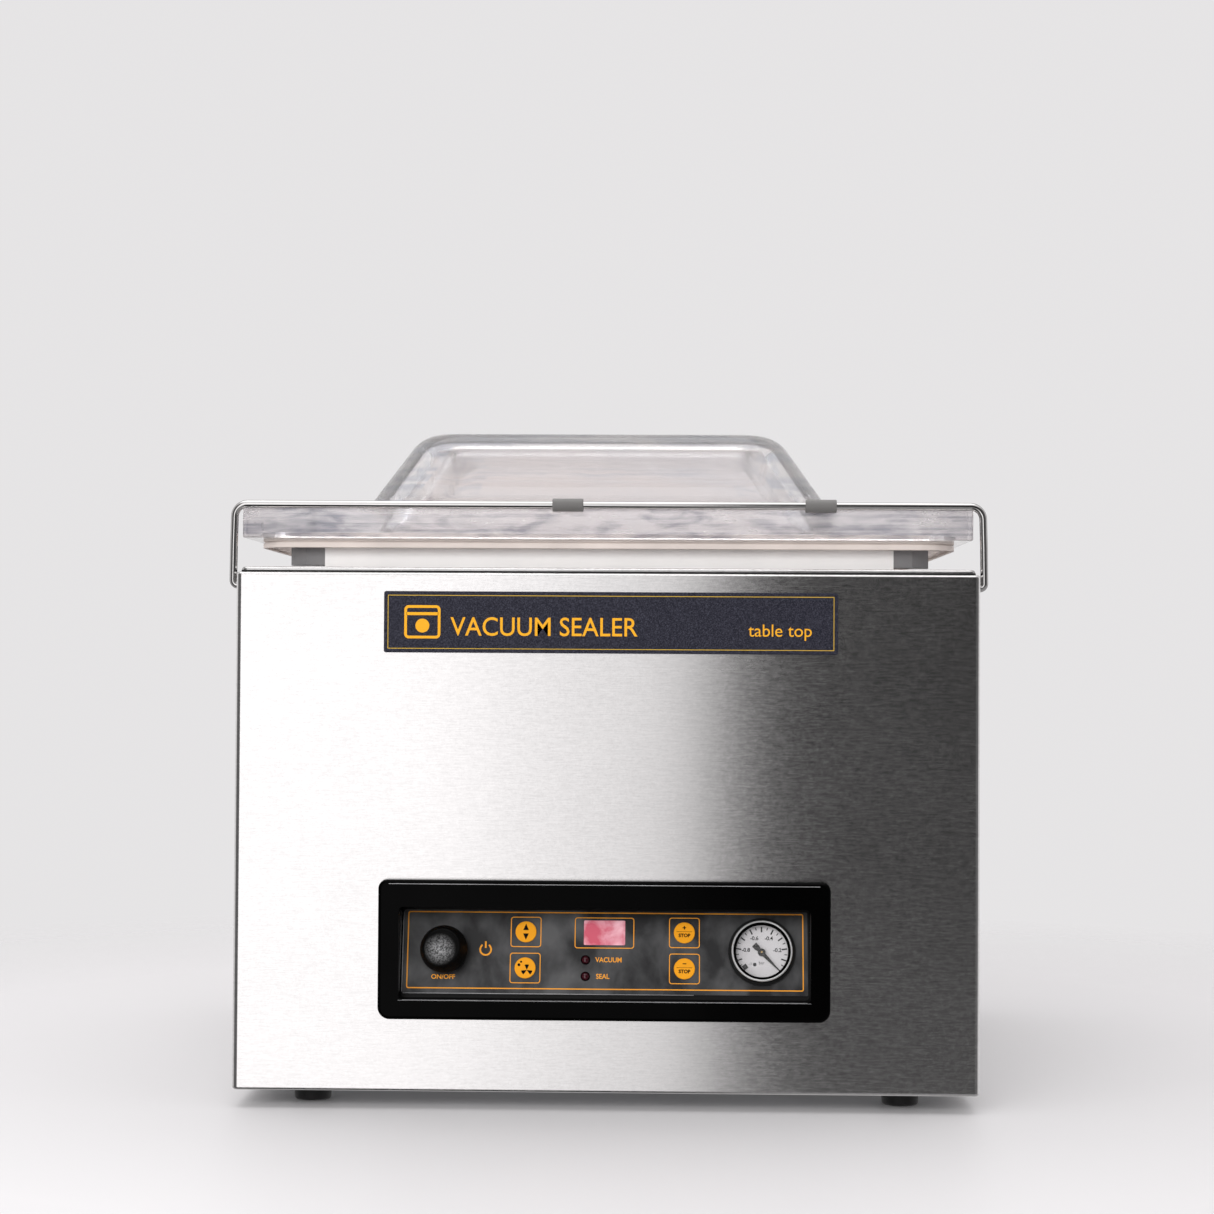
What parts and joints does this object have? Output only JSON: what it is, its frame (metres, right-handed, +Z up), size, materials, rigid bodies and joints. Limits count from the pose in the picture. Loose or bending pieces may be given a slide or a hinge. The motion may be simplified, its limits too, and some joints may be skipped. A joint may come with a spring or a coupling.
{
  "type": "vacuum chamber sealer",
  "caption": "Table-top vacuum chamber sealer in brushed stainless steel, with a clear domed lid raised on a sprung hinge, a wire locking bail and a tilted control panel with a gauge.",
  "frame": {"origin": "on the floor under the middle of the machine's overall box", "axes": "+X to the machine's right as seen from the front, -Y to the front, +Z up"},
  "size_m": [0.5048, 0.5273, 0.455],
  "materials": {
    "brushed_stainless": "brushed",
    "satin_stainless": "satin",
    "galvanised": "matte",
    "screw_steel": "polished",
    "spring_steel": "polished",
    "bail_steel": "polished",
    "heater_wire": "matte",
    "lamination_steel": "matte",
    "black_rubber": "matte",
    "beige_rubber": "matte",
    "white_rubber": "matte",
    "white_plastic": "satin",
    "grey_plastic": "matte",
    "grey_sleeve": "matte",
    "graphite_plate": "satin",
    "gloss_black": "glossy",
    "black_plastic": "matte",
    "dark_label": "satin",
    "red_window": "glossy",
    "red_led": "glossy",
    "circuit_board": "satin",
    "component_black": "matte",
    "amber_key": "satin",
    "chrome_ring": "polished",
    "white_dial": "satin",
    "black_needle": "satin",
    "clear_glass": "polished",
    "blue_tube": "satin",
    "cast_housing": "satin",
    "motor_paint": "satin",
    "fan_plastic": "matte",
    "filter_paint": "satin",
    "alloy": "satin",
    "clear_hose": "satin",
    "copper_winding": "satin",
    "brown_tape": "satin",
    "clear_acrylic": "polished"
  },
  "bodies": {
    "housing": {"housing_shell": "brushed_stainless", "base_plate": "galvanised", "rear_panel": "brushed_stainless", "panel_screws": "screw_steel", "rubber_feet": "black_rubber", "foot_screws": "screw_steel", "chamber_deck": "satin_stainless", "filler_plate": "white_plastic", "nameplate": "graphite_plate", "control_bezel": "gloss_black", "control_carrier": "black_plastic", "control_label": "dark_label", "display_window": "red_window", "status_leds": "red_led", "control_board": "circuit_board", "board_components": "component_black", "switch_body": "black_plastic", "gauge_case": "black_plastic", "gauge_ring": "chrome_ring", "gauge_dial": "white_dial", "gauge_glass": "clear_glass", "gauge_tube": "blue_tube", "pump_body": "cast_housing", "pump_mounts": "black_rubber", "pump_motor": "motor_paint", "fan_cover": "galvanised", "oil_sight_glass": "clear_glass", "exhaust_filter": "filter_paint", "suction_hose": "black_rubber", "valve_block": "alloy", "solenoid_coils": "component_black", "chamber_hose": "clear_hose", "transformer_core": "lamination_steel", "transformer_windings": "copper_winding", "power_inlet": "black_plastic", "lift_cylinders": "alloy", "hinge_brackets": "satin_stainless", "bracket_screws": "screw_steel", "lift_springs": "spring_steel"},
    "hinge_carriage": {"hinge_shaft": "screw_steel"},
    "lid": {"lid_cover": "clear_acrylic", "lid_gasket": "beige_rubber", "counter_bar": "white_plastic", "counter_silicone": "white_rubber", "counter_bar_clips": "grey_plastic", "hinge_arms": "satin_stainless", "arm_screws": "screw_steel"},
    "seal_bar_unit": {"seal_bar": "alloy", "seal_wires": "heater_wire", "ptfe_tape": "brown_tape", "lift_pistons": "screw_steel"},
    "bail": {"bail_wire": "bail_steel", "bail_sleeves": "grey_sleeve"},
    "on_off": {"on_off_button": "black_plastic"},
    "up_down_key": {"key_up_down": "amber_key"},
    "program_key": {"key_program": "amber_key"},
    "plus_key": {"key_plus": "amber_key"},
    "minus_key": {"key_minus": "amber_key"},
    "needle": {"gauge_needle": "black_needle"},
    "fan": {"motor_fan": "fan_plastic"}
  },
  "joints": [
    {"name": "lid_float", "type": "slide", "parent": "housing", "child": "hinge_carriage", "axis": [0, 0, 1], "range_m": [-0.0132, 0], "stiffness_N_per_m": 4000, "springref_m": 0.022, "deforming": ["lift_springs"]},
    {"name": "lid_swing", "type": "hinge", "parent": "hinge_carriage", "child": "lid", "pos_m": [0, 0.2565, 0.376], "axis": [-1, 0, 0], "range_deg": [0, 50]},
    {"name": "seal_bar_lift", "type": "slide", "parent": "housing", "child": "seal_bar_unit", "axis": [0, 0, 1], "range_m": [0, 0.007]},
    {"name": "bail_swing", "type": "hinge", "parent": "housing", "child": "bail", "pos_m": [0, -0.241, 0.346], "axis": [1, 0, 0], "range_deg": [0, 155]},
    {"name": "on_off_press", "type": "slide", "parent": "housing", "child": "on_off", "axis": [0, 0.9703, -0.2419], "range_m": [0, 0.005], "stiffness_N_per_m": 900, "springref_m": -0.003},
    {"name": "up_down_press", "type": "slide", "parent": "housing", "child": "up_down_key", "axis": [0, 0.9703, -0.2419], "range_m": [0, 0.0005], "stiffness_N_per_m": 3000, "springref_m": -0.0003},
    {"name": "program_press", "type": "slide", "parent": "housing", "child": "program_key", "axis": [0, 0.9703, -0.2419], "range_m": [0, 0.0005], "stiffness_N_per_m": 3000, "springref_m": -0.0003},
    {"name": "plus_press", "type": "slide", "parent": "housing", "child": "plus_key", "axis": [0, 0.9703, -0.2419], "range_m": [0, 0.0005], "stiffness_N_per_m": 3000, "springref_m": -0.0003},
    {"name": "minus_press", "type": "slide", "parent": "housing", "child": "minus_key", "axis": [0, 0.9703, -0.2419], "range_m": [0, 0.0005], "stiffness_N_per_m": 3000, "springref_m": -0.0003},
    {"name": "needle_turn", "type": "hinge", "parent": "housing", "child": "needle", "pos_m": [0.1038, -0.23529, 0.10351], "axis": [0, -0.9703, 0.2419], "range_deg": [0, 270]},
    {"name": "fan_spin", "type": "hinge", "parent": "housing", "child": "fan", "pos_m": [0.125, 0.01, 0.13], "axis": [1, 0, 0], "continuous": true}
  ]
}
